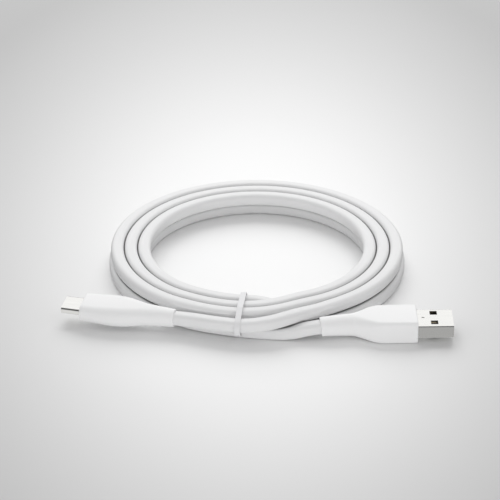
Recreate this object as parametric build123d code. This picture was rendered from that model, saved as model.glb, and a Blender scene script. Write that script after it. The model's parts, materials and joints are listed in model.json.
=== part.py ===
from build123d import *
import math
import os

# Charging cable: a coiled cord with a Type-A plug and a Type-C plug on its ends, held by one tie.
# Millimetres, +Z up. Everything is laid out with the coil's axis on X = Y = 0 and the table at
# Z = 0, and moved at the end so that the origin is the bottom centre of the bounding box.
# Inside each plug, X runs from the overmould's nose face (X = 0) to the tip, Y is the plug's
# width and Z its height.

# ---- Cord ----
CABLE_D = 4.5
CORD_R = CABLE_D / 2
TURN_PITCH = 4.6  # from one turn to the next in the same layer
LAYER_RISE = 4.3  # from the lower layer to the upper one
TURNS = 3  # in each layer
LOWER_INNER_R = 40.8  # innermost turn of the lower layer
LAYER_OFFSET = 1.9  # the upper layer lies this much nearer the coil's axis
UPPER_INNER_R = LOWER_INNER_R - LAYER_OFFSET
LOWER_Z = CORD_R
UPPER_Z = LOWER_Z + LAYER_RISE
UPPER_OUTER_R = UPPER_INNER_R + (TURNS - 1) * TURN_PITCH
LOWER_OUTER_R = LOWER_INNER_R + (TURNS - 1) * TURN_PITCH

# Every turn is a full circle except between these two angles, where each one moves over by a
# pitch: the outer strand of a layer arrives or leaves there as a tail.
SHIFT_START = -94.0
SHIFT_END = -60.0
SHIFT_STATIONS = 8
UPPER_SHIFT = (-90.0, 27.0)  # where the move starts, and over how many degrees
LOWER_SHIFT = (-87.0, 27.0)

# Centre lines of the two tails, from each plug's strain relief to the coil.
TAIL_C = [
    (-27.4, -47.15, 5.45),
    (-21.59, -48.65, 5.46),
    (-16.1, -51.1, 5.8),
    (-10.8, -52.8, 5.85),
    (-5.2, -53.8, 5.85),
    (0.5, -53.9, 6.3),
    (6.0, -53.1, 7.0),
    (11.2, -50.9, 7.2),
    (15.9, -47.4, 7.1),
    (20.153, -43.906, 6.55),
    (24.05, -41.656, 6.55),
]
TAIL_A = [
    (21.0, -51.3, 4.45),
    (17.4, -51.9, 3.9),
    (13.6, -52.5, 3.0),
    (9.6, -52.3, 2.35),
    (5.6, -51.3, 2.25),
    (1.5, -50.227, 2.25),
    (-3.488, -49.878, 2.25),
]
ARC_SHARE = 0.45  # share of the shorter run that a bend may use

# ---- Tie: a flat plastic strip on a wire, closed round the bundle and twisted on its inside ----
TIE_ANGLE = -96.8
TIE_WIDTH = 1.9
TIE_THICKNESS = 0.45
TIE_GAP = 0.3
TIE_WIRE_D = 0.26
TIE_TRAVEL = (-16.0, 1.0)  # degrees round the coil
TIE_LIFT = TIE_THICKNESS + TIE_GAP  # the cord stands this high above the table under the tie
TIE_OUTER_STRAND = (54.0, 5.7)  # radius and height of the type-C tail where the tie holds it
TIE_CHANNEL_BLOCK = 30.0  # anything larger than the bundle
TIE_TAIL_L = 7.0  # twisted part
TIE_TAIL_Z = 2.9
TIE_TWIST = 180.0
TIE_STEM = 0.9  # straight strip between the twist and the loop

# ---- Type-A plug ----
A_NOSE = (53.1, -48.35)
A_YAW = 1.5
A_SHELL_W = 12.0
A_SHELL_H = 4.5
A_SHELL_WALL = 0.3
A_SHELL_CORNER = 0.65
A_SHELL_OUT = 11.9
A_SHELL_IN = 6.9
A_WINDOW_W = 2.5
A_WINDOW_L = 2.4
A_WINDOW_Y = 3.25
A_WINDOW_FROM_TIP = 5.1
A_DIMPLE_D = 1.0
A_DIMPLE_X = 2.0
A_DIMPLE_DEPTH = 0.15
A_CAVITY_DEPTH = 8.8
A_TONGUE_TOP = -0.1
A_TONGUE_SETBACK = 0.35
A_FIT = 0.02
A_CONTACT_W = 1.0
A_CONTACT_T = 0.25
A_CONTACT_TAIL = 9.2  # how far the solder ends reach behind the nose
A_SOLDER_L = 0.6
A_WIRE_RISE_X = -9.8
A_WIRE_GATHER_X = -14.4
A_CONTACTS = {  # Y and the length of bare contact in the mouth
    "type_a_contact_power": (3.5, 7.4),
    "type_a_contact_data_minus": (1.0, 6.4),
    "type_a_contact_data_plus": (-1.0, 6.4),
    "type_a_contact_ground": (-3.5, 7.4),
}
A_BODY_W = 13.8
A_BODY_H = 8.0
A_BODY_CORNER = 1.3
A_BODY_L = 11.0
A_NOSE_CHAMFER = 0.3
# Behind the straight body: distance from the nose, width, height and corner radius.
A_NECK = [
    (-A_BODY_L, A_BODY_W, A_BODY_H, A_BODY_CORNER),
    (-13.2, 13.6, 7.96, 1.5),
    (-15.4, 12.5, 7.9, 2.0),
    (-17.6, 10.4, 7.7, 2.6),
    (-19.8, 8.6, 7.5, 3.2),
    (-22.0, 7.4, 7.4, 3.69),
]
A_RELIEF = [
    (-27.1, 6.9, 6.9, 3.44),
    (-32.166, 6.4, 6.4, 3.19),
]
A_MOLD = [
    (-1.2, 12.7, 6.3, 1.2),
    (-10.6, 12.7, 6.3, 1.2),
    (-13.5, 11.0, 6.1, 1.9),
    (-16.5, 7.2, 6.0, 2.9),
    (-18.8, 6.0, 6.0, 2.99),
]
A_FERRULE_X = (-18.0, -15.2)
A_CABLE_END_X = -16.0

# ---- Type-C plug ----
C_YAW = 165.5
C_ROLL = -5.5
C_LENGTH = 31.8  # overmould, nose to strain relief end
C_SHELL_W = 8.25
C_SHELL_H = 2.4
C_SHELL_WALL = 0.2
C_SHELL_OUT = 6.65
C_SHELL_IN = 4.5
C_FIT = 0.02
C_MOUTH_W = 6.9
C_MOUTH_H = 0.84
C_MOUTH_BACK = 0.6
C_HOUSING_SETBACK = 0.25
C_CONTACT_W = 0.25
C_CONTACT_T = 0.15
C_CONTACT_PITCH = 0.5
C_CONTACT_BACK = -6.2
C_CONTACT_FRONT = 5.9
C_UPPER_POSITIONS = [1, 4, 5, 6, 7, 9, 12]
C_LOWER_POSITIONS = [1, 4, 5, 9, 12]
C_LATCH_T = 0.3
C_LATCH_ARM = 0.3
C_LATCH_X = (-4.3, -2.6, 5.4)
C_LATCH_HOOK = (4.5, 5.1, 0.25)
C_SPRING_SIZE = (1.1, 5.6, 0.12)
C_SPRING_X = 4.9
C_WIRE_PITCH = 1.8
C_WIRE_SOLDER_X = -9.2
C_WIRE_RISE_X = -11.2
C_WIRE_GATHER_X = -15.2
C_BOARD_X = (-11.4, -4.7)
C_BOARD_W = 7.4
C_BOARD_T = 0.8
C_RESISTOR = (1.0, 0.5, 0.35)
C_RESISTOR_AT = (-7.6, 0.0)
C_CAN_X = (-12.2, -4.6)
C_CAN_W = 8.8
C_CAN_H = 3.6
C_CAN_WALL = 0.2
C_CAN_CORNER = 1.2
C_BODY = [
    (0.0, 11.5, 5.95, 2.75),
    (-1.1, 11.6, 6.0, 2.8),
    (-5.3, 12.0, 6.3, 2.9),
    (-10.6, 12.5, 7.0, 3.2),
    (-14.1, 12.0, 7.1, 3.3),
    (-17.7, 10.4, 6.9, 3.3),
    (-21.2, 8.3, 6.6, 3.2),
    (-24.7, 7.3, 6.5, 3.2),
    (-28.2, 6.6, 6.35, 3.15),
    (-C_LENGTH, 6.0, 6.0, 2.99),
]
C_MOLD = [
    (-1.0, 10.3, 4.6, 2.1),
    (-12.4, 10.3, 5.2, 2.3),
    (-14.8, 8.8, 5.4, 2.5),
    (-17.1, 6.9, 5.8, 2.85),
    (-19.4, 6.0, 6.0, 2.99),
]
C_FERRULE_X = (-18.6, -15.8)
C_CABLE_END_X = -16.6

# ---- Wires and crimps, alike in both plugs ----
WIRE_D = 0.9
WIRE_SPREAD = 1.05  # distance of each wire from the cord's axis where it leaves the jacket
FERRULE_WALL = 0.4
FERRULE_GAP = 0.08

# Moulded and extruded round shapes are made with flats: sides of a whole circle.
ROUND_SIDES = 12
WIRE_SIDES = 8


def block(x_range, y_range, z_range):
    """Box between two limits on each axis."""
    corner = Pos(min(x_range), min(y_range), min(z_range))
    size = [max(limits) - min(limits) for limits in (x_range, y_range, z_range)]
    return corner * Box(*size, align=(Align.MIN, Align.MIN, Align.MIN))


def bar(x_range, width, height, corner):
    """Straight bar of rounded rectangular section along the plug."""
    back = Plane(origin=(min(x_range), 0, 0), x_dir=(0, 1, 0), z_dir=(1, 0, 0))
    return extrude(back * RectangleRounded(width, height, corner), max(x_range) - min(x_range))


def slot_bar(x_range, width, height):
    """Straight bar with fully round sides along the plug."""
    back = Plane(origin=(min(x_range), 0, 0), x_dir=(0, 1, 0), z_dir=(1, 0, 0))
    return extrude(back * SlotOverall(width, height), max(x_range) - min(x_range))


def faceted(width, height, corner):
    """Rounded rectangle whose corners are made of short flats."""
    across = width / 2 - corner
    up = height / 2 - corner
    outline = []
    for side, top, quarter in ((1, 1, 0), (-1, 1, 1), (-1, -1, 2), (1, -1, 3)):
        for step in range(ROUND_SIDES // 4 + 1):
            turn = math.pi / 2 * quarter + math.tau * step / ROUND_SIDES
            outline.append((side * across + corner * math.cos(turn), top * up + corner * math.sin(turn)))
    apart = [point for point, last in zip(outline, outline[-1:] + outline) if math.dist(point, last) > 1e-6]
    return make_face(Polyline(*apart, close=True))


def faceted_round(diameter):
    """Circle made of flats."""
    return RegularPolygon(diameter / 2, ROUND_SIDES)


def straight_spine(x):
    """Section plane of a plug that isn't bent."""
    return Plane(origin=(x, 0, 0), x_dir=(0, 1, 0), z_dir=(1, 0, 0))


def bent_spine(start_x, end, end_direction):
    """Section planes along a spine that bends from the X axis at start_x to end."""
    curve = Spline((start_x, 0, 0), end, tangents=[(-1, 0, 0), end_direction])

    def plane_at(x):
        share = (x - start_x) / (end[0] - start_x)
        if share <= 0:
            return straight_spine(x)
        share = min(share, 1.0)
        return Plane(origin=curve @ share, x_dir=(0, 1, 0), z_dir=-(curve % share))

    return plane_at


def skin(spine, stations):
    """Body ruled between rounded sections given as (x, width, height, corner)."""
    sections = [spine(x) * faceted(width, height, corner) for x, width, height, corner in stations]
    return loft(sections, ruled=True)


def round_skin(spine, x_front, x_back, diameter, steps=3):
    """Round body of one diameter along the spine."""
    stations = [x_front + (x_back - x_front) * step / steps for step in range(steps + 1)]
    return loft([spine(x) * faceted_round(diameter) for x in stations], ruled=True)


def wire(points):
    """One insulated conductor through the given points."""
    path = Polyline(*points)
    section = Plane(origin=path @ 0, z_dir=path % 0) * RegularPolygon(WIRE_D / 2, WIRE_SIDES)
    return sweep(section, path=path, transition=Transition.RIGHT)


def wires(spine, wire_x, solder_y, solder_z):
    """Four conductors from their solder joints to the jacket: power, data, data, ground."""
    solder_x, rise_x, gather_x, jacket_x = wire_x
    ends = [(WIRE_SPREAD, 0), (0, WIRE_SPREAD), (0, -WIRE_SPREAD), (-WIRE_SPREAD, 0)]
    made = []
    for y, (end_y, end_z) in zip(solder_y, ends):
        gathered = spine(gather_x).from_local_coords((end_y, end_z, 0))
        jacket = spine(jacket_x).from_local_coords((end_y, end_z, 0))
        made.append(wire([(solder_x, y, solder_z), (rise_x, y, solder_z), gathered, jacket]))
    return made


def ferrule(spine, x_range):
    """Crimp ring round the end of the jacket."""
    bore = CABLE_D + 2 * FERRULE_GAP
    ring = faceted_round(bore + 2 * FERRULE_WALL) - faceted_round(bore)
    return extrude(spine(min(x_range)) * ring, max(x_range) - min(x_range))


# ---- Type-A plug ----


def type_a_pieces(spine, relief_x):
    """Every piece of the Type-A plug, in the plug's own frame."""
    pieces = {}
    inner_w = A_SHELL_W - 2 * A_SHELL_WALL
    inner_h = A_SHELL_H - 2 * A_SHELL_WALL
    inner_corner = A_SHELL_CORNER - A_SHELL_WALL
    tip = A_SHELL_OUT
    back = -A_SHELL_IN

    envelope = bar((back, tip), A_SHELL_W, A_SHELL_H, A_SHELL_CORNER)
    shell = envelope - bar((back - 1, tip + 1), inner_w, inner_h, inner_corner)
    window_x = (tip - A_WINDOW_FROM_TIP - A_WINDOW_L, tip - A_WINDOW_FROM_TIP)
    for side in (-1, 1):
        window_y = (side * A_WINDOW_Y - A_WINDOW_W / 2, side * A_WINDOW_Y + A_WINDOW_W / 2)
        shell -= block(window_x, window_y, (-A_SHELL_H, A_SHELL_H))
    dimple_z = A_SHELL_H / 2 - A_DIMPLE_DEPTH / 2
    shell -= Pos(A_DIMPLE_X, 0, dimple_z) * Cylinder(A_DIMPLE_D / 2, A_DIMPLE_DEPTH)
    pieces["type_a_shell"] = shell

    block_front = tip - A_CAVITY_DEPTH
    half_w = inner_w / 2 - A_FIT
    half_h = inner_h / 2 - A_FIT
    insulator = bar((back + 0.3, block_front), 2 * half_w, 2 * half_h, inner_corner)
    tongue_tip = tip - A_TONGUE_SETBACK
    tongue = bar((block_front, tongue_tip), 2 * half_w, 2 * half_h, inner_corner)
    tongue -= block((block_front, tongue_tip), (-half_w, half_w), (A_TONGUE_TOP, half_h))
    insulator += tongue
    contacts = {}
    for name, (y, bare) in A_CONTACTS.items():
        y_range = (y - A_CONTACT_W / 2, y + A_CONTACT_W / 2)
        z_range = (A_TONGUE_TOP - A_CONTACT_T, A_TONGUE_TOP)
        contacts[name] = block((-A_CONTACT_TAIL, block_front + bare), y_range, z_range)
        groove_y = (y_range[0] - A_FIT, y_range[1] + A_FIT)
        groove_z = (z_range[0] - A_FIT, z_range[1] + A_FIT)
        insulator -= block((-A_CONTACT_TAIL, block_front + bare + A_FIT), groove_y, groove_z)
    pieces["type_a_insulator"] = insulator
    pieces.update(contacts)

    solder_z = A_TONGUE_TOP + WIRE_D / 2
    solder_y = [y for y, bare in A_CONTACTS.values()]
    wire_x = (A_SOLDER_L - A_CONTACT_TAIL, A_WIRE_RISE_X, A_WIRE_GATHER_X, A_CABLE_END_X)
    conductors = wires(spine, wire_x, solder_y, solder_z)
    pieces["type_a_conductors"] = Compound(children=conductors)
    pieces["type_a_ferrule"] = ferrule(spine, A_FERRULE_X)
    pieces["type_a_cable_end"] = round_skin(spine, A_CABLE_END_X, relief_x, CABLE_D)

    mold = skin(spine, A_MOLD)
    nose_w = A_BODY_W - 2 * A_NOSE_CHAMFER
    nose_h = A_BODY_H - 2 * A_NOSE_CHAMFER
    nose = [
        (0.0, nose_w, nose_h, A_BODY_CORNER - A_NOSE_CHAMFER),
        (-A_NOSE_CHAMFER, A_BODY_W, A_BODY_H, A_BODY_CORNER),
    ]
    overmold = skin(spine, nose + A_NECK + A_RELIEF)
    overmold -= [mold, envelope, pieces["type_a_cable_end"]]
    for held in (envelope, *contacts.values(), *conductors, pieces["type_a_ferrule"]):
        mold -= held
    pieces["type_a_inner_mold"] = mold - pieces["type_a_cable_end"]
    pieces["type_a_overmold"] = overmold
    return pieces


# ---- Type-C plug ----


def c_contact_y(position):
    """Y of a numbered contact position, 1 to 12."""
    return (6.5 - position) * C_CONTACT_PITCH


def type_c_pieces(spine, relief_x):
    """Every piece of the Type-C plug, in the plug's own frame."""
    pieces = {}
    inner_w = C_SHELL_W - 2 * C_SHELL_WALL
    inner_h = C_SHELL_H - 2 * C_SHELL_WALL
    shell_x = (-C_SHELL_IN, C_SHELL_OUT)
    envelope = slot_bar(shell_x, C_SHELL_W, C_SHELL_H)
    pieces["type_c_shell"] = envelope - slot_bar((-C_SHELL_IN - 1, C_SHELL_OUT + 1), inner_w, inner_h)

    half_mouth = C_MOUTH_H / 2
    housing_x = (-C_SHELL_IN, C_SHELL_OUT - C_HOUSING_SETBACK)
    housing_h = inner_h - 2 * C_FIT
    housing = slot_bar(housing_x, inner_w - 2 * C_FIT, housing_h)
    mouth_y = (-C_MOUTH_W / 2, C_MOUTH_W / 2)
    housing -= block((C_MOUTH_BACK, C_SHELL_OUT), mouth_y, (-half_mouth, half_mouth))
    plate_z = (-C_LATCH_T / 2, C_LATCH_T / 2)
    housing -= block((-C_SHELL_IN, C_MOUTH_BACK), mouth_y, [z * 1.1 for z in plate_z])

    rows = {
        "type_c_contacts_upper": (C_UPPER_POSITIONS, 1),
        "type_c_contacts_lower": (C_LOWER_POSITIONS, -1),
    }
    for name, (positions, side) in rows.items():
        strips = []
        for position in positions:
            y = side * c_contact_y(position)
            y_range = (y - C_CONTACT_W / 2, y + C_CONTACT_W / 2)
            z_range = (side * half_mouth, side * (half_mouth + C_CONTACT_T))
            strips.append(block((C_CONTACT_BACK, C_CONTACT_FRONT), y_range, z_range))
            groove_y = (y_range[0] - C_FIT, y_range[1] + C_FIT)
            groove_z = (z_range[0], z_range[1] + side * C_FIT)
            housing -= block((C_CONTACT_BACK, C_CONTACT_FRONT + C_FIT), groove_y, groove_z)
        pieces[name] = Compound(children=strips)

    spring_l, spring_w, spring_t = C_SPRING_SIZE
    springs = []
    for side in (-1, 1):
        top = side * housing_h / 2
        spring_x = (C_SPRING_X, C_SPRING_X + spring_l)
        springs.append(block(spring_x, (-spring_w / 2, spring_w / 2), (top - side * spring_t, top)))
        recess_y = (-spring_w / 2 - C_FIT, spring_w / 2 + C_FIT)
        recess_x = (spring_x[0] - C_FIT, spring_x[1] + C_FIT)
        housing -= block(recess_x, recess_y, (top - side * (spring_t + C_FIT), top + side))
    pieces["type_c_ground_springs"] = Compound(children=springs)
    pieces["type_c_housing"] = housing

    plate_back, plate_front, arm_front = C_LATCH_X
    hook_back, hook_front, hook_depth = C_LATCH_HOOK
    outer = C_MOUTH_W / 2 - C_FIT
    latch = block((plate_back, plate_front), (-outer, outer), plate_z)
    for side in (-1, 1):
        arm_y = (side * outer, side * (outer - C_LATCH_ARM))
        latch += block((plate_back, arm_front), arm_y, plate_z)
        hook_y = (side * outer, side * (outer - C_LATCH_ARM - hook_depth))
        latch += block((hook_back, hook_front), hook_y, plate_z)
    pieces["type_c_latch"] = latch

    board_z = C_BOARD_T / 2
    pieces["type_c_board"] = block(C_BOARD_X, (-C_BOARD_W / 2, C_BOARD_W / 2), (-board_z, board_z))
    resistor_x, resistor_y = C_RESISTOR_AT
    resistor = Box(*C_RESISTOR, align=(Align.CENTER, Align.CENTER, Align.MIN))
    pieces["type_c_resistor"] = Pos(resistor_x, resistor_y, board_z) * resistor

    can_envelope = bar(C_CAN_X, C_CAN_W, C_CAN_H, C_CAN_CORNER)
    can_inner_w = C_CAN_W - 2 * C_CAN_WALL
    can_inner_h = C_CAN_H - 2 * C_CAN_WALL
    can_inner = bar(C_CAN_X, can_inner_w, can_inner_h, C_CAN_CORNER - C_CAN_WALL)
    pieces["type_c_rear_shield"] = can_envelope - can_inner

    solder_z = board_z + WIRE_D / 2
    solder_y = [C_WIRE_PITCH * steps for steps in (1.5, 0.5, -0.5, -1.5)]
    wire_x = (C_WIRE_SOLDER_X, C_WIRE_RISE_X, C_WIRE_GATHER_X, C_CABLE_END_X)
    conductors = wires(spine, wire_x, solder_y, solder_z)
    pieces["type_c_conductors"] = Compound(children=conductors)
    pieces["type_c_ferrule"] = ferrule(spine, C_FERRULE_X)
    pieces["type_c_cable_end"] = round_skin(spine, C_CABLE_END_X, relief_x, CABLE_D, 1)

    mold = skin(spine, C_MOLD)
    overmold = skin(spine, C_BODY) - [mold, envelope, pieces["type_c_cable_end"]]
    for held in (envelope, can_envelope, *conductors, pieces["type_c_ferrule"]):
        mold -= held
    pieces["type_c_inner_mold"] = mold - pieces["type_c_cable_end"]
    pieces["type_c_overmold"] = overmold
    return pieces


# ---- Cord ----


def radial_plane(angle):
    """Upright plane through the coil's axis: X is the radius and Y the height."""
    turn = math.radians(angle)
    outward = (math.cos(turn), math.sin(turn), 0)
    return Plane(origin=(0, 0, 0), x_dir=outward, z_dir=(outward[1], -outward[0], 0))


def layer(angle, inner_r, outer_r, height):
    """Section of one layer of turns, from its innermost centre line to its outermost."""
    section = faceted(outer_r - inner_r + CABLE_D, CABLE_D, CORD_R)
    return radial_plane(angle) * Pos((inner_r + outer_r) / 2, height) * section


def moved_over(angle, shift):
    """Share of a pitch, 0 to 1, by which a layer has moved over at this angle."""
    start, length = shift
    share = min(max((angle - start) / length, 0.0), 1.0)
    return share * share * (3 - 2 * share)


def coil():
    """The six turns of the coil as one solid of their outer shape."""
    ring_section = layer(SHIFT_END, UPPER_INNER_R, UPPER_OUTER_R, UPPER_Z)
    ring_section += layer(SHIFT_END, LOWER_INNER_R, LOWER_OUTER_R, LOWER_Z)
    ring = revolve(ring_section, Axis.Z, 360 - (SHIFT_END - SHIFT_START))
    step = (SHIFT_END - SHIFT_START) / (SHIFT_STATIONS - 1)
    angles = [SHIFT_START + step * index for index in range(SHIFT_STATIONS)]
    upper = []
    lower = []
    for angle in angles:
        upper_r = UPPER_OUTER_R - TURN_PITCH * moved_over(angle, UPPER_SHIFT)
        lower_r = LOWER_OUTER_R - TURN_PITCH * (1 - moved_over(angle, LOWER_SHIFT))
        upper.append(layer(angle, UPPER_INNER_R, upper_r, UPPER_Z))
        lower.append(layer(angle, LOWER_INNER_R, lower_r, LOWER_Z))
    whole = ring + loft(upper, ruled=True) + loft(lower, ruled=True)
    return whole - tie_channel()


def cord_path(points):
    """Straight runs joined by arcs, each as large as its two runs allow."""
    corners = [Vector(*point) for point in points]
    radii = []
    for before, corner, after in zip(corners, corners[1:], corners[2:]):
        run_in = corner - before
        run_out = after - corner
        half_turn = math.radians(run_in.get_angle(run_out)) / 2
        radii.append(ARC_SHARE * min(run_in.length, run_out.length) / math.tan(half_turn))
    return FilletPolyline(*points, radius=radii), radii


def tail(name, points):
    """Uncoiled stretch of cord between a strain relief and the coil."""
    path, radii = cord_path(points)
    section = Plane(origin=path @ 0, z_dir=path % 0) * faceted_round(CABLE_D)
    tube = sweep(section, path=path)
    expected = section.area * path.length
    print(name, "arc radii", [round(radius, 1) for radius in radii])
    print(name, "length", round(path.length, 2), "volume / expected", round(tube.volume / expected, 4))
    return tube


# ---- Tie ----


def tie_outline(offset):
    """Outline at one distance from the cord's surface round the five outer strands of the bundle."""
    strands = [
        (UPPER_INNER_R, UPPER_Z + TIE_LIFT),
        (UPPER_OUTER_R, UPPER_Z + TIE_LIFT),
        TIE_OUTER_STRAND,
        (LOWER_OUTER_R, LOWER_Z + TIE_LIFT),
        (LOWER_INNER_R, LOWER_Z + TIE_LIFT),
    ]
    circles = Sketch() + [Pos(*strand) * Circle(CORD_R + offset) for strand in strands]
    return make_hull(circles.edges())


def tie_channel():
    """Room round the coil for the tie's strip over its whole travel."""
    margin = math.degrees((TIE_WIDTH / 2 + TIE_GAP) / LOWER_INNER_R)
    start = TIE_ANGLE + TIE_TRAVEL[0] - margin
    sweep_angle = TIE_TRAVEL[1] - TIE_TRAVEL[0] + 2 * margin
    around = Pos((LOWER_INNER_R + LOWER_OUTER_R) / 2, UPPER_Z) * Rectangle(TIE_CHANNEL_BLOCK, TIE_CHANNEL_BLOCK)
    return revolve(radial_plane(start) * (around - tie_outline(0)), Axis.Z, sweep_angle)


def tie():
    """The strip's loop with its twisted ends, and the wire inside the loop."""
    plane = radial_plane(TIE_ANGLE)
    band = tie_outline(TIE_GAP + TIE_THICKNESS) - tie_outline(TIE_GAP)
    sleeve = extrude(plane * band, TIE_WIDTH / 2, both=True)
    wire_inside = TIE_GAP + (TIE_THICKNESS - TIE_WIRE_D) / 2
    core = tie_outline(wire_inside + TIE_WIRE_D) - tie_outline(wire_inside)
    core = extrude(plane * core, TIE_WIRE_D / 2, both=True)

    root_r = LOWER_INNER_R - CORD_R - TIE_GAP - TIE_THICKNESS - TIE_STEM
    inward = -plane.x_dir
    root = plane.from_local_coords((root_r, TIE_TAIL_Z, 0))
    across = Plane(origin=root, x_dir=plane.z_dir, z_dir=inward)
    pair = Rectangle(TIE_WIDTH, 2 * TIE_THICKNESS)
    twist = Solid.extrude_linear_with_rotation(across * pair.face(), root, inward * TIE_TAIL_L, TIE_TWIST)
    straight = extrude(across * pair, -TIE_STEM - TIE_THICKNESS - TIE_GAP)
    clear_of_bundle = extrude(plane * tie_outline(TIE_GAP), TIE_WIDTH, both=True)
    sleeve = sleeve + (straight - clear_of_bundle) + twist
    return sleeve - core, core


# ---- Assembly ----

tail_a_run = Vector(*TAIL_A[1]) - Vector(*TAIL_A[0])
a_frame = Plane(
    origin=(*A_NOSE, A_BODY_H / 2),
    x_dir=(math.cos(math.radians(A_YAW)), math.sin(math.radians(A_YAW)), 0),
    z_dir=(0, 0, 1),
)
a_relief = a_frame.to_local_coords(Vector(*TAIL_A[0]))
a_relief_run = a_frame.to_local_coords(Vector(*TAIL_A[1])) - a_relief
a_spine = bent_spine(-A_BODY_L, tuple(a_relief), tuple(a_relief_run.normalized()))

c_run = (Vector(*TAIL_C[1]) - Vector(*TAIL_C[0])).normalized()
c_nose = Vector(*TAIL_C[0]) - c_run * C_LENGTH
c_frame = Plane(origin=c_nose, x_dir=-c_run, z_dir=(0, 0, 1))

pieces = {}
for name, piece in type_a_pieces(a_spine, a_relief.X).items():
    pieces[name] = a_frame.location * piece
for name, piece in type_c_pieces(straight_spine, -C_LENGTH).items():
    pieces[name] = c_frame.location * Rotation(C_ROLL, 0, 0) * piece
pieces["cable_coil"] = coil()
pieces["cable_tail_type_a"] = tail("cable_tail_type_a", TAIL_A)
pieces["cable_tail_type_c"] = tail("cable_tail_type_c", TAIL_C)
pieces["tie_sleeve"], pieces["tie_core_wire"] = tie()

whole_box = Compound(children=[Compound(children=piece.solids()) for piece in pieces.values()]).bounding_box()
centre = whole_box.center()
to_origin = Pos(-centre.X, -centre.Y, 0)
print("coil axis at", round(-centre.X, 4), round(-centre.Y, 4), "lowest point", round(whole_box.min.Z, 4))
print("whole size", [round(extent, 2) for extent in whole_box.size])

os.makedirs("parts", exist_ok=True)
for name, piece in pieces.items():
    export_step(to_origin * piece, f"parts/{name}.step")
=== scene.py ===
import json
import math

import bmesh
import bpy
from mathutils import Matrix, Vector


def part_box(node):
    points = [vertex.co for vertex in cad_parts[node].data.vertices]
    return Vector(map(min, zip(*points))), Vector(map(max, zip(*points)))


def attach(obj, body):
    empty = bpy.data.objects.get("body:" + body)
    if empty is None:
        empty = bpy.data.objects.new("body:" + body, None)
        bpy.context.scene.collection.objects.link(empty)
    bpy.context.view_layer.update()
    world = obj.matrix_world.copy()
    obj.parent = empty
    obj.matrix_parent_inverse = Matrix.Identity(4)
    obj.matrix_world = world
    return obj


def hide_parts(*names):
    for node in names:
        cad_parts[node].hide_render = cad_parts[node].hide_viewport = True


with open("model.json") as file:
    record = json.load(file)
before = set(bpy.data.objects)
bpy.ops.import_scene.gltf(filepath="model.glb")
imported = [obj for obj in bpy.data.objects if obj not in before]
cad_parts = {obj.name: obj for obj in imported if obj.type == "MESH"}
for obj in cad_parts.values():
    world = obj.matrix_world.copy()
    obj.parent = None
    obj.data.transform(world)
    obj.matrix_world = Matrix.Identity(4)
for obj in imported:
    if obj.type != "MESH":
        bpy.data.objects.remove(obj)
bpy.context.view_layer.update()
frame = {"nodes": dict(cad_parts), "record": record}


# ---- Table, lamps and camera ----
# A pale table under a softbox that hangs behind the cable. A low card in front lifts the upright
# faces and leaves the shadows on the table. None of it is part of the cable.

ring_low, ring_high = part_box("cable_coil")
RING_OUTSIDE = 0.05225
# The point on the table under the middle of the coil, from which the rest is measured.
axis = Vector(((ring_low[0] + ring_high[0]) / 2, ring_high[1] - RING_OUTSIDE, 0))

# The table's colour holds a painted pool of light: bright round the coil and darker towards the
# edges.
TABLE_SIZE = 6.0
TABLE_SQUASH = 0.5  # the painted light falls off quicker across than in depth
TABLE_REACH = 0.14
# Distance from the axis, as a share of the reach, and the tone of the painted light there.
TABLE_LIGHT_POOL = [
    (0.0, 0.995),
    (0.12, 0.99),
    (0.26, 0.955),
    (0.34, 0.925),
    (0.43, 0.853),
    (0.54, 0.768),
    (0.66, 0.676),
    (0.77, 0.609),
    (0.89, 0.539),
    (1.0, 0.476),
]


def set_greys(ramp, interpolation, stops):
    """Fills a colour ramp with greys, each with its position."""
    ramp.interpolation = interpolation
    while len(ramp.elements) < len(stops):
        ramp.elements.new(0.5)
    for stop, (position, grey) in zip(ramp.elements, stops):
        stop.position = position
        stop.color = (grey, grey, grey, 1)


table_mesh = bpy.data.meshes.new("table")
half = TABLE_SIZE / 2
table_mesh.from_pydata(
    [(-half, -half, 0), (half, -half, 0), (half, half, 0), (-half, half, 0)], [], [(0, 1, 2, 3)]
)
table = bpy.data.objects.new("table", table_mesh)
bpy.context.collection.objects.link(table)
table_look = bpy.data.materials.new("table_painted_light")
table_look.use_nodes = True
nodes, links = table_look.node_tree.nodes, table_look.node_tree.links
place = nodes.new("ShaderNodeTexCoord")
centred = nodes.new("ShaderNodeMapping")
centred.inputs["Location"].default_value = (-axis.x, -axis.y * TABLE_SQUASH, 0)
centred.inputs["Scale"].default_value = (1, TABLE_SQUASH, 1)
distance = nodes.new("ShaderNodeVectorMath")
distance.operation = "LENGTH"
share = nodes.new("ShaderNodeMath")
share.operation = "DIVIDE"
share.inputs[1].default_value = TABLE_REACH
tone = nodes.new("ShaderNodeValToRGB")
set_greys(tone.color_ramp, "B_SPLINE", TABLE_LIGHT_POOL)
links.new(place.outputs["Object"], centred.inputs["Vector"])
links.new(centred.outputs["Vector"], distance.inputs[0])
links.new(distance.outputs["Value"], share.inputs[0])
links.new(share.outputs["Value"], tone.inputs["Fac"])
links.new(tone.outputs["Color"], nodes["Principled BSDF"].inputs["Base Color"])
nodes["Principled BSDF"].inputs["Roughness"].default_value = 0.75
nodes["Principled BSDF"].inputs["Specular IOR Level"].default_value = 0.15
table_mesh.materials.append(table_look)
table.visible_glossy = False


def area_lamp(name, width, depth, energy, offset):
    """Area lamp at an offset from the axis. It faces the axis and no mirror shows it."""
    light = bpy.data.lights.new(name, "AREA")
    light.shape = "RECTANGLE"
    light.size = width
    light.size_y = depth
    light.energy = energy
    lamp = bpy.data.objects.new(name, light)
    lamp.location = axis + Vector(offset)
    lamp.rotation_mode = "QUATERNION"
    lamp.rotation_quaternion = (axis - lamp.location).to_track_quat("-Z", "Y")
    lamp.visible_glossy = False
    bpy.context.collection.objects.link(lamp)


area_lamp("softbox", 0.9, 0.9, 8.0, (0, 0.78, 0.68))
area_lamp("card", 0.8, 0.12, 1.8, (0, -1.0, 0.07))

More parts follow.
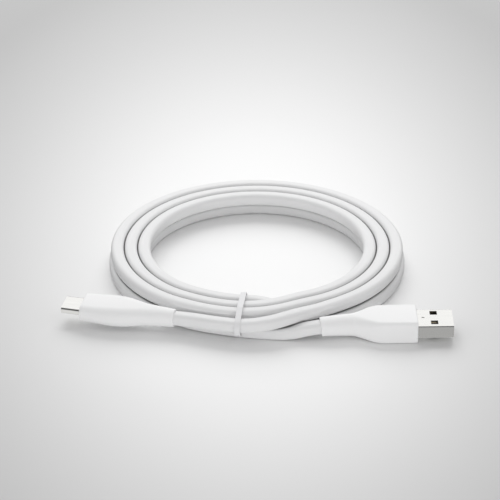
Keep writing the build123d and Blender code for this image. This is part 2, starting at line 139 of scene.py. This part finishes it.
# The room lights everything evenly. Mirrors see a bright wall behind the cable, a dark room
# round it and a grey floor in front.
ROOM_LIGHT = 0.58
WALL_LIGHT = 1.0
WALL_TOWARDS = Vector((0, 0.65, 0.76))
# How far a direction turns from away to towards the wall, and the tone that is mirrored there.
MIRRORED = [(0.36, 0.75), (0.46, 0.08), (0.76, 0.08), (0.90, 1.0)]
world = bpy.data.worlds.new("room")
bpy.context.scene.world = world
world.use_nodes = True
nodes, links = world.node_tree.nodes, world.node_tree.links
room = nodes["Background"]
room.inputs["Color"].default_value = (1, 1, 1, 1)
room.inputs["Strength"].default_value = ROOM_LIGHT
mirrored = nodes.new("ShaderNodeBackground")
mirrored.inputs["Strength"].default_value = WALL_LIGHT
towards = nodes.new("ShaderNodeTexCoord")
behind = nodes.new("ShaderNodeVectorMath")
behind.operation = "DOT_PRODUCT"
behind.inputs[1].default_value = WALL_TOWARDS
half_turned = nodes.new("ShaderNodeMapRange")
half_turned.inputs["From Min"].default_value = -1
surroundings = nodes.new("ShaderNodeValToRGB")
set_greys(surroundings.color_ramp, "EASE", MIRRORED)
ray = nodes.new("ShaderNodeLightPath")
either = nodes.new("ShaderNodeMixShader")
links.new(towards.outputs["Generated"], behind.inputs[0])
links.new(behind.outputs["Value"], half_turned.inputs["Value"])
links.new(half_turned.outputs["Result"], surroundings.inputs["Fac"])
links.new(surroundings.outputs["Color"], mirrored.inputs["Color"])
links.new(ray.outputs["Is Glossy Ray"], either.inputs["Fac"])
links.new(room.outputs["Background"], either.inputs[1])
links.new(mirrored.outputs["Background"], either.inputs[2])
links.new(either.outputs["Shader"], nodes["World Output"].inputs["Surface"])

CAMERA_TILT = math.radians(27.792)
camera_data = bpy.data.cameras.new("camera")
camera_data.lens = 233.84
camera_data.sensor_width = 36
camera_data.clip_end = 20
camera = bpy.data.objects.new("camera", camera_data)
camera.location = axis + Vector((-0.002409, -0.992425, 0.529297))
camera.rotation_euler = (math.pi / 2 - CAMERA_TILT, 0, 0)
bpy.context.collection.objects.link(camera)
bpy.context.scene.camera = camera
bpy.context.scene.view_settings.view_transform = "Standard"


# ---- Cord ----
# A cable in a smooth white jacket, squared off a little so that its turns lie neatly. It starts
# in the Type-C plug, winds inwards in the upper layer and outwards again on the table.

CORD_DIAMETER = 0.0045
CORD_HEIGHT = 0.00435
CORD_CORNER = 0.00155
# Centre lines of the uncoiled ends, in metres from the coil's axis on the table.
TAIL_C = [
    (-0.0274, -0.04715, 0.00545),
    (-0.02159, -0.04875, 0.0057),
    (-0.0161, -0.0512, 0.00605),
    (-0.0108, -0.0528, 0.0061),
    (-0.0053, -0.0538, 0.0061),
    (0.0003, -0.0538, 0.0065),
    (0.0055, -0.0527, 0.0070),
    (0.0103, -0.0502, 0.0072),
    (0.0150, -0.0472, 0.0070),
    (0.0198, -0.0448, 0.00675),
]
TAIL_A = [
    (0.021, -0.0513, 0.00445),
    (0.0170, -0.0517, 0.0041),
    (0.0130, -0.0519, 0.0030),
    (0.0088, -0.0515, 0.0023),
    (0.0044, -0.0510, 0.00225),
    (0.0, -0.0505, 0.0023),
    (-0.0046, -0.0501, 0.0025),
]
# Each turn's radius and height, and where it moves over to the next: first angle and degrees.
TURNS = [
    (0.0481, 0.00655, -94, 27),
    (0.0435, 0.00655, -94, 27),
    (0.0389, 0.00655, -98, 30),
    (0.0408, 0.00225, -86, 27),
    (0.0454, 0.00225, -86, 27),
    (0.0500, 0.00225, 0, 1),
]
COIL_FIRST = -60  # angle where the Type-C end joins the outer turn of the upper layer
COIL_SPAN = 5 * 360 + 320
COIL_STEP = 10
TURN_SHIFT = 8  # each turn is counted from this far after the coil's first angle
LOWER_OVAL = 0.026  # the lower turns are narrower across than in depth, by this share
UPPER_RISE = 0.00012  # the upper turns stand a little higher at the sides, by this much
STEP_INWARDS = 0.0033  # the strand that steps down swings clear of the turns beside it
CROSSING_RISE = 0.0003  # the upper turns ride up a little where they pass over the lower ones
TIE_STRIP = 0.00045  # the bundle rises by the strip's thickness where the tie runs under it
UPPER_TURNS = 3
# Where each of these happens: its first and last angle, and over how many degrees it comes on
# at the first and goes off at the last.
STEP_WINDOW = (-98, -57, 14, 17)
CROSSING_WINDOW = (-98, -56, 12, 12)
TIE_WINDOW = (-136, -73, 20, 20)
MOVE_WINDOW = (-100, -50)  # angles between which turns move over to the next
MOVE_FIRST, MOVE_LAST = 180, 2000  # no move at the coil's own ends, counted along it


def eased(share):
    share = min(max(share, 0), 1)
    return share * share * (3 - 2 * share)


def within(angle, window):
    """1 well inside the window, easing to 0 at both of its ends."""
    first, last, fade_in, fade_out = window
    return eased((angle - first) / fade_in) * eased((last - angle) / fade_out)


def coil_point(along):
    """Point of the coil's centre line, counted in degrees from its start."""
    turn = max(0, (along - TURN_SHIFT) // 360)
    angle = (COIL_FIRST + along + 180) % 360 - 180
    radius, height, move_from, move_over = TURNS[turn]
    sideways = math.cos(math.radians(angle)) ** 2
    moving = MOVE_WINDOW[0] < angle < MOVE_WINDOW[1]
    if moving and MOVE_FIRST < along < MOVE_LAST:
        moved = eased((angle - move_from) / move_over)
        radius += (TURNS[turn + 1][0] - radius) * moved
        height += (TURNS[turn + 1][1] - height) * moved
        if turn == UPPER_TURNS - 1:
            radius -= STEP_INWARDS * within(angle, STEP_WINDOW)
        if turn < UPPER_TURNS - 1:
            height += CROSSING_RISE * within(angle, CROSSING_WINDOW)
    if turn < UPPER_TURNS:
        height += UPPER_RISE * sideways
    else:
        radius *= 1 - LOWER_OVAL * sideways
    height += TIE_STRIP * within(angle, TIE_WINDOW)
    # The curve cuts the corners of its control points by this factor.
    radius *= 4 / (3 + math.cos(math.radians(COIL_STEP)))
    turned = math.radians(angle)
    return radius * math.cos(turned), radius * math.sin(turned), height


coil_points = [coil_point(along) for along in range(COIL_STEP, COIL_SPAN, COIL_STEP)]
cord_points = [axis + Vector(point) for point in TAIL_C + coil_points + TAIL_A[::-1]]
route = bpy.data.curves.new("cord_route", "CURVE")
route.dimensions = "3D"
route.resolution_u = 5
line = route.splines.new("NURBS")
line.points.add(len(cord_points) - 1)
for knot, point in zip(line.points, cord_points):
    knot.co = (*point, 1)
line.order_u = 3
line.use_endpoint_u = True
route_holder = bpy.data.objects.new("cord_route", route)
route_mesh = bpy.data.meshes.new_from_object(route_holder)
cord_path = [vertex.co.copy() for vertex in route_mesh.vertices]
bpy.data.objects.remove(route_holder)

CORNER_STEPS = 8
RING_POINTS = 4 * (CORNER_STEPS + 1)
SHARP_EDGE = math.radians(50)  # shading breaks at edges that turn by more than this


def rounded_ring(width, height, corner):
    """Outline of a rounded rectangle, always with the same number of points."""
    corner = min(corner, width / 2 - 1e-6, height / 2 - 1e-6)
    ring = []
    for quarter in range(4):
        side = 1 if quarter in (0, 3) else -1
        top = 1 if quarter < 2 else -1
        for step in range(CORNER_STEPS + 1):
            turned = math.pi / 2 * (quarter + step / CORNER_STEPS)
            across = side * (width / 2 - corner) + corner * math.cos(turned)
            up = top * (height / 2 - corner) + corner * math.sin(turned)
            ring.append((across, up))
    return ring


def tube(name, rings):
    """Closed body through rings of points, shaded smooth but for its sharp edges."""
    mesh = bmesh.new()
    loops = [[mesh.verts.new(point) for point in ring] for ring in rings]
    for first, second in zip(loops, loops[1:]):
        for index in range(RING_POINTS):
            after = (index + 1) % RING_POINTS
            mesh.faces.new((first[index], first[after], second[after], second[index]))
    mesh.faces.new(loops[0][::-1])
    mesh.faces.new(loops[-1])
    bmesh.ops.recalc_face_normals(mesh, faces=mesh.faces)
    for face in mesh.faces:
        face.smooth = True
    for edge in mesh.edges:
        edge.smooth = edge.calc_face_angle() < SHARP_EDGE
    data = bpy.data.meshes.new(name)
    mesh.to_mesh(data)
    mesh.free()
    piece = bpy.data.objects.new(name, data)
    bpy.context.collection.objects.link(piece)
    return piece


cord_rings = []
section = rounded_ring(CORD_DIAMETER, CORD_HEIGHT, CORD_CORNER)
for index, point in enumerate(cord_path):
    before = cord_path[max(index - 1, 0)]
    after = cord_path[min(index + 1, len(cord_path) - 1)]
    forward = (after - before).normalized()
    side = forward.cross(Vector((0, 0, 1))).normalized()
    up = side.cross(forward)
    cord_rings.append([point + side * across + up * rise for across, rise in section])
cord = tube("cable_jacket", cord_rings)

GROOVE_REACH = 0.0011  # width of groove that still gets painted shade
GROOVE_CLOSED, GROOVE_OPEN = 0.15, 0.75  # share of open sky at full dimming and at none


def paint_groove_shade(nodes, links, colour, tone):
    """Paints shade into a colour: dims it to a share of itself, the tone, at the bottom of the
    piece's narrow grooves.
    """
    groove = nodes.new("ShaderNodeAmbientOcclusion")
    groove.samples = 8
    groove.only_local = True
    groove.inputs["Distance"].default_value = GROOVE_REACH
    depth = nodes.new("ShaderNodeMapRange")
    depth.inputs["From Min"].default_value = GROOVE_CLOSED
    depth.inputs["From Max"].default_value = GROOVE_OPEN
    depth.inputs["To Min"].default_value = tone
    groove_shaded = nodes.new("ShaderNodeVectorMath")
    groove_shaded.operation = "SCALE"
    links.new(groove.outputs["AO"], depth.inputs["Value"])
    links.new(colour, groove_shaded.inputs[0])
    links.new(depth.outputs["Result"], groove_shaded.inputs["Scale"])
    return groove_shaded.outputs["Vector"]


def plastic(name, colour, roughness, speckle, grain, bump, groove_shade_tone=1):
    """Moulded or extruded plastic: a faint cloudiness in tone and gloss, a fine skin, and painted
    shade in narrow grooves when the groove shade tone is below 1.
    """
    look = bpy.data.materials.new(name)
    look.use_nodes = True
    nodes, links = look.node_tree.nodes, look.node_tree.links
    body = nodes["Principled BSDF"]
    body.inputs["Specular IOR Level"].default_value = 0.45
    body.inputs["Subsurface Weight"].default_value = 0.04
    body.inputs["Subsurface Radius"].default_value = (0.001, 0.001, 0.001)
    place = nodes.new("ShaderNodeTexCoord")
    cloud = nodes.new("ShaderNodeTexNoise")
    cloud.inputs["Scale"].default_value = 90
    cloud.inputs["Detail"].default_value = 3
    shade = nodes.new("ShaderNodeMix")
    shade.data_type = "RGBA"
    shade.inputs["A"].default_value = (*[channel * (1 - speckle) for channel in colour], 1)
    shade.inputs["B"].default_value = (*colour, 1)
    paint = shade.outputs["Result"]
    # Painted shade: the colour is dimmed in the narrow grooves that ambient occlusion finds.
    if groove_shade_tone < 1:
        paint = paint_groove_shade(nodes, links, paint, groove_shade_tone)
    gloss = nodes.new("ShaderNodeMapRange")
    gloss.inputs["To Min"].default_value = roughness - 0.04
    gloss.inputs["To Max"].default_value = roughness + 0.06
    fine = nodes.new("ShaderNodeTexNoise")
    fine.inputs["Scale"].default_value = grain
    fine.inputs["Detail"].default_value = 2
    skin = nodes.new("ShaderNodeBump")
    skin.inputs["Strength"].default_value = 0.35
    skin.inputs["Distance"].default_value = bump
    links.new(place.outputs["Object"], cloud.inputs["Vector"])
    links.new(place.outputs["Object"], fine.inputs["Vector"])
    links.new(cloud.outputs["Fac"], shade.inputs["Factor"])
    links.new(paint, body.inputs["Base Color"])
    links.new(cloud.outputs["Fac"], gloss.inputs["Value"])
    links.new(gloss.outputs["Result"], body.inputs["Roughness"])
    links.new(fine.outputs["Fac"], skin.inputs["Height"])
    links.new(skin.outputs["Normal"], body.inputs["Normal"])
    return look


# The jacket gets painted shade: its colour is dimmed in the grooves between the turns.
jacket = plastic(
    "cord_jacket", (0.832, 0.832, 0.835), 0.34, 0.025, 1500, 0.00003, groove_shade_tone=0.3
)
cord.data.materials.append(jacket)
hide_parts("cable_coil", "cable_tail_type_a", "cable_tail_type_c")
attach(cord, "cable")


# ---- Overmoulds ----
# Each plug's grip is one soft white moulding over the hard inner body. It is widest over the
# connector and runs back into a slim strain relief round the cord.

SLICE = 0.0004  # length of one row of faces
ROUND_STEPS = 5
MOUTH_DEPTH = 0.0012  # how deep the opening round the shell is
BORE_DEPTH = 0.0008  # how deep the opening round the cord is
NOSE_ROUND = 0.0005
TAIL_ROUND = 0.00025
BORE = 0.0046


def between(stations, x):
    """Width, height and corner at x, on smooth curves through the stations, front to back."""
    index = 0
    while index < len(stations) - 2 and x < stations[index + 1][0]:
        index += 1
    here, there = stations[index], stations[index + 1]
    before = stations[max(index - 1, 0)]
    after = stations[min(index + 2, len(stations) - 1)]
    span = there[0] - here[0]
    share = (x - here[0]) / span
    sizes = []
    for size in (1, 2, 3):
        rise = there[size] - here[size]
        slope_in = span * (there[size] - before[size]) / (there[0] - before[0])
        slope_out = span * (after[size] - here[size]) / (after[0] - here[0])
        limit = 3 * abs(rise)
        slope_in = max(-limit, min(limit, slope_in))
        slope_out = max(-limit, min(limit, slope_out))
        rest = 1 - share
        lean = share * rest * rest * slope_in - share * share * rest * slope_out
        sizes.append(here[size] + rise * eased(share) + lean)
    return sizes


def overmould(name, stations, spine, mouth):
    """Closed moulding: rounded nose round the shell's mouth, body, and end face round the cord."""
    front, back = stations[0][0], stations[-1][0]
    rings = [(front - MOUTH_DEPTH, *mouth), (front, *mouth)]
    for step in range(ROUND_STEPS):
        turned = math.pi / 2 * step / ROUND_STEPS
        x = front - NOSE_ROUND * (1 - math.cos(turned))
        inset = NOSE_ROUND * (1 - math.sin(turned))
        width, height, corner = between(stations, x)
        rings.append((x, width - 2 * inset, height - 2 * inset, max(corner - inset, 1e-4)))
    length = front - NOSE_ROUND - back - TAIL_ROUND
    count = int(length / SLICE)
    for step in range(count + 1):
        x = front - NOSE_ROUND - length * step / count
        rings.append((x, *between(stations, x)))
    for step in range(1, ROUND_STEPS + 1):
        turned = math.pi / 2 * step / ROUND_STEPS
        x = back + TAIL_ROUND * (1 - math.sin(turned))
        inset = TAIL_ROUND * (1 - math.cos(turned))
        width, height, corner = between(stations, x)
        rings.append((x, width - 2 * inset, height - 2 * inset, corner - inset))
    rings.append((back, BORE, BORE, BORE / 2))
    rings.append((back + BORE_DEPTH, BORE, BORE, BORE / 2))
    outlines = [(x, rounded_ring(width, height, corner)) for x, width, height, corner in rings]
    return tube(name, [[spine(x, across, up) for across, up in outline] for x, outline in outlines])


def mount_named(name):
    """Place of a mount and the direction that it faces."""
    for mount in frame["record"]["mounts"]:
        if mount["name"] == name:
            return Vector(mount["pos_m"]), Vector(mount["axis"]).normalized()


grip = plastic("soft_grip", (0.925, 0.925, 0.927), 0.42, 0.015, 2600, 0.00002)

# The Type-A grip: a squared block, then a swan neck.
A_SHELL_OUT = 0.0119  # how far the shell stands out of the grip
A_MOUTH = (0.01212, 0.00462, 0.0007)  # width, height and corner of the opening for the shell
# Distance behind the nose, width, height and corner.
A_STATIONS = [
    (0.0, 0.0138, 0.0080, 0.0013),
    (-0.0055, 0.0138, 0.0080, 0.0013),
    (-0.0110, 0.0138, 0.0080, 0.0013),
    (-0.0132, 0.0136, 0.00796, 0.0015),
    (-0.0154, 0.0125, 0.0079, 0.0020),
    (-0.0176, 0.0104, 0.0077, 0.0026),
    (-0.0198, 0.0086, 0.0075, 0.0032),
    (-0.0220, 0.0074, 0.0074, 0.0037),
    (-0.0271, 0.0069, 0.0069, 0.00345),
    (-0.032166, 0.0064, 0.0064, 0.0032),
]
A_STRAIGHT = -0.011  # where the neck starts to bend
a_tip, a_ahead = mount_named("type_a_plug")
a_nose = a_tip - a_ahead * A_SHELL_OUT
a_side = Vector((0, 0, 1)).cross(a_ahead)
a_end = axis + Vector(TAIL_A[0]) - a_nose
a_run = (Vector(TAIL_A[1]) - Vector(TAIL_A[0])).normalized()
a_end_x = a_end.dot(a_ahead)
a_drift = (a_end.dot(a_side), a_end.z)
a_slope = (a_run.dot(a_side) / a_run.dot(a_ahead), a_run.z / a_run.dot(a_ahead))


def a_spine(x, across, up):
    """Point of the Type-A grip: its neck is bent a little by the pull of the cord."""
    reach = a_end_x - A_STRAIGHT
    share = min(max((x - A_STRAIGHT) / reach, 0), 1)
    centre, lean = [], []
    for drift, slope in zip(a_drift, a_slope):
        tug = share * share * (share - 1)
        centre.append(drift * eased(share) + reach * slope * tug)
        bend = 6 * drift * share * (1 - share) / reach
        lean.append(bend + slope * share * (3 * share - 2))
    forward = x - across * lean[0] - up * lean[1]
    sideways = a_side * (centre[0] + across)
    return a_nose + a_ahead * forward + sideways + Vector((0, 0, centre[1] + up))


a_grip = overmould("type_a_grip", A_STATIONS, a_spine, A_MOUTH)
a_grip.data.materials.append(grip)
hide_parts("type_a_overmold")
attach(a_grip, "cable")

# The Type-C grip: a flattened flask that slims evenly to the cord, rolled a little to the front.
C_SHELL_OUT = 0.00665
C_ROLL = math.radians(-5.5)
C_MOUTH = (0.00837, 0.00252, 0.00126)
C_STATIONS = [
    (0.0, 0.0115, 0.00595, 0.00275),
    (-0.0011, 0.0116, 0.0060, 0.0028),
    (-0.0053, 0.0120, 0.0063, 0.0029),
    (-0.0106, 0.0125, 0.0070, 0.0032),
    (-0.0141, 0.0120, 0.0071, 0.0033),
    (-0.0177, 0.0104, 0.0069, 0.0033),
    (-0.0212, 0.0083, 0.0066, 0.0032),
    (-0.0247, 0.0073, 0.0065, 0.0032),
    (-0.0282, 0.0066, 0.00635, 0.00315),
    (-0.0318, 0.0060, 0.0060, 0.0030),
]
c_tip, c_ahead = mount_named("type_c_plug")
c_nose = c_tip - c_ahead * C_SHELL_OUT
c_side = Vector((0, 0, 1)).cross(c_ahead).normalized()
c_up = c_ahead.cross(c_side)
c_across = c_side * math.cos(C_ROLL) + c_up * math.sin(C_ROLL)
c_top = c_up * math.cos(C_ROLL) - c_side * math.sin(C_ROLL)


def c_spine(x, across, up):
    """Point of the Type-C grip, which is straight."""
    return c_nose + c_ahead * x + c_across * across + c_top * up


c_grip = overmould("type_c_grip", C_STATIONS, c_spine, C_MOUTH)
c_grip.data.materials.append(grip)
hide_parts("type_c_overmold")
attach(c_grip, "cable")


# ---- Metal of the plugs ----
# The shells are deep drawn or folded from thin steel and plated bright. The parts inside are
# plain tinned steel, and the contacts are gold plated.

SIDE_SHADE_TONE = 0.53  # share of the colour that is left on faces with painted shade


def metal(name, colour, roughness, streak, bump, shaded_axes=(0, 0, 0)):
    """Plated sheet with the fine lines of the mill; faces that look along the shaded axes get
    painted shade, a darker colour.
    """
    look = bpy.data.materials.new(name)
    look.use_nodes = True
    nodes, links = look.node_tree.nodes, look.node_tree.links
    body = nodes["Principled BSDF"]
    body.inputs["Metallic"].default_value = 1
    place = nodes.new("ShaderNodeTexCoord")
    stretch = nodes.new("ShaderNodeMapping")
    stretch.inputs["Scale"].default_value = (0.04, 1, 1)
    lines = nodes.new("ShaderNodeTexNoise")
    lines.inputs["Scale"].default_value = streak
    lines.inputs["Detail"].default_value = 3
    shade = nodes.new("ShaderNodeMix")
    shade.data_type = "RGBA"
    shade.inputs["A"].default_value = (*[channel * 0.9 for channel in colour], 1)
    shade.inputs["B"].default_value = (*colour, 1)
    upright = nodes.new("ShaderNodeVectorMath")
    upright.operation = "ABSOLUTE"
    facing = nodes.new("ShaderNodeVectorMath")
    facing.operation = "DOT_PRODUCT"
    facing.inputs[1].default_value = shaded_axes
    edge = nodes.new("ShaderNodeMapRange")
    edge.inputs["From Min"].default_value = 0.6
    edge.inputs["From Max"].default_value = 0.95
    side_shade = nodes.new("ShaderNodeMix")
    side_shade.data_type = "RGBA"
    side_shade.inputs["B"].default_value = (*[channel * SIDE_SHADE_TONE for channel in colour], 1)
    gloss = nodes.new("ShaderNodeMapRange")
    gloss.inputs["To Min"].default_value = roughness * 0.7
    gloss.inputs["To Max"].default_value = roughness * 1.3
    skin = nodes.new("ShaderNodeBump")
    skin.inputs["Strength"].default_value = 0.3
    skin.inputs["Distance"].default_value = bump
    links.new(place.outputs["Object"], stretch.inputs["Vector"])
    links.new(stretch.outputs["Vector"], lines.inputs["Vector"])
    links.new(lines.outputs["Fac"], shade.inputs["Factor"])
    links.new(place.outputs["Normal"], upright.inputs[0])
    links.new(upright.outputs["Vector"], facing.inputs[0])
    links.new(facing.outputs["Value"], edge.inputs["Value"])
    links.new(edge.outputs["Result"], side_shade.inputs["Factor"])
    links.new(shade.outputs["Result"], side_shade.inputs["A"])
    links.new(side_shade.outputs["Result"], body.inputs["Base Color"])
    links.new(lines.outputs["Fac"], gloss.inputs["Value"])
    links.new(gloss.outputs["Result"], body.inputs["Roughness"])
    links.new(lines.outputs["Fac"], skin.inputs["Height"])
    links.new(skin.outputs["Normal"], body.inputs["Normal"])
    return look


def dress(look, *names):
    """Gives CAD nodes their finish."""
    for name in names:
        piece = frame["nodes"][name]
        if piece.data.materials:
            for index in range(len(piece.data.materials)):
                piece.data.materials[index] = look
        else:
            piece.data.materials.append(look)


# The last argument gives the axes whose faces get painted shade on each shell.
folded = metal("folded_shell", (0.95, 0.945, 0.92), 0.20, 2200, 0.000004, (1, 1, 0))
drawn = metal("drawn_shell", (0.95, 0.945, 0.92), 0.20, 2200, 0.000004, (1, 0, 0))
tinned = metal("tinned_steel", (0.60, 0.60, 0.61), 0.34, 1800, 0.000006)
gold = metal("gold_plating", (0.58, 0.50, 0.34), 0.24, 2400, 0.000004)
dress(folded, "type_a_shell")
dress(drawn, "type_c_shell")
dress(tinned, "type_a_ferrule", "type_c_ferrule", "type_c_latch", "type_c_ground_springs")
dress(tinned, "type_c_rear_shield")
dress(gold, *[name for name in frame["nodes"] if "contact" in name])


# ---- Insulators, boards and wires ----
# Moulded dark insulators hold the contacts. Behind them lie the board, its resistor and the
# wires, all sealed in a hard inner moulding.

insulator = plastic("dark_insulator", (0.07, 0.068, 0.062), 0.45, 0.3, 1800, 0.00002)
natural = plastic("inner_moulding", (0.74, 0.74, 0.70), 0.5, 0.06, 900, 0.00004)
board = plastic("board_mask", (0.03, 0.2, 0.09), 0.28, 0.2, 1400, 0.00001)
chip = plastic("chip_body", (0.03, 0.03, 0.03), 0.4, 0.3, 2400, 0.00001)
wire = plastic("wire_insulation", (0.5, 0.06, 0.05), 0.4, 0.1, 1200, 0.00001)
dress(insulator, "type_a_insulator", "type_c_housing")
dress(natural, "type_a_inner_mold", "type_c_inner_mold")
dress(board, "type_c_board")
dress(chip, "type_c_resistor")
dress(wire, "type_a_conductors", "type_c_conductors")
dress(jacket, "type_a_cable_end", "type_c_cable_end")


# ---- Tie ----
# A flat plastic strip with a soft wire along its middle, closed round the bundle and twisted
# together on the inside of the ring, where it can be opened by hand.

strip = plastic("tie_strip", (0.83, 0.83, 0.84), 0.38, 0.03, 1600, 0.00003)
dress(strip, "tie_sleeve")
dress(tinned, "tie_core_wire")
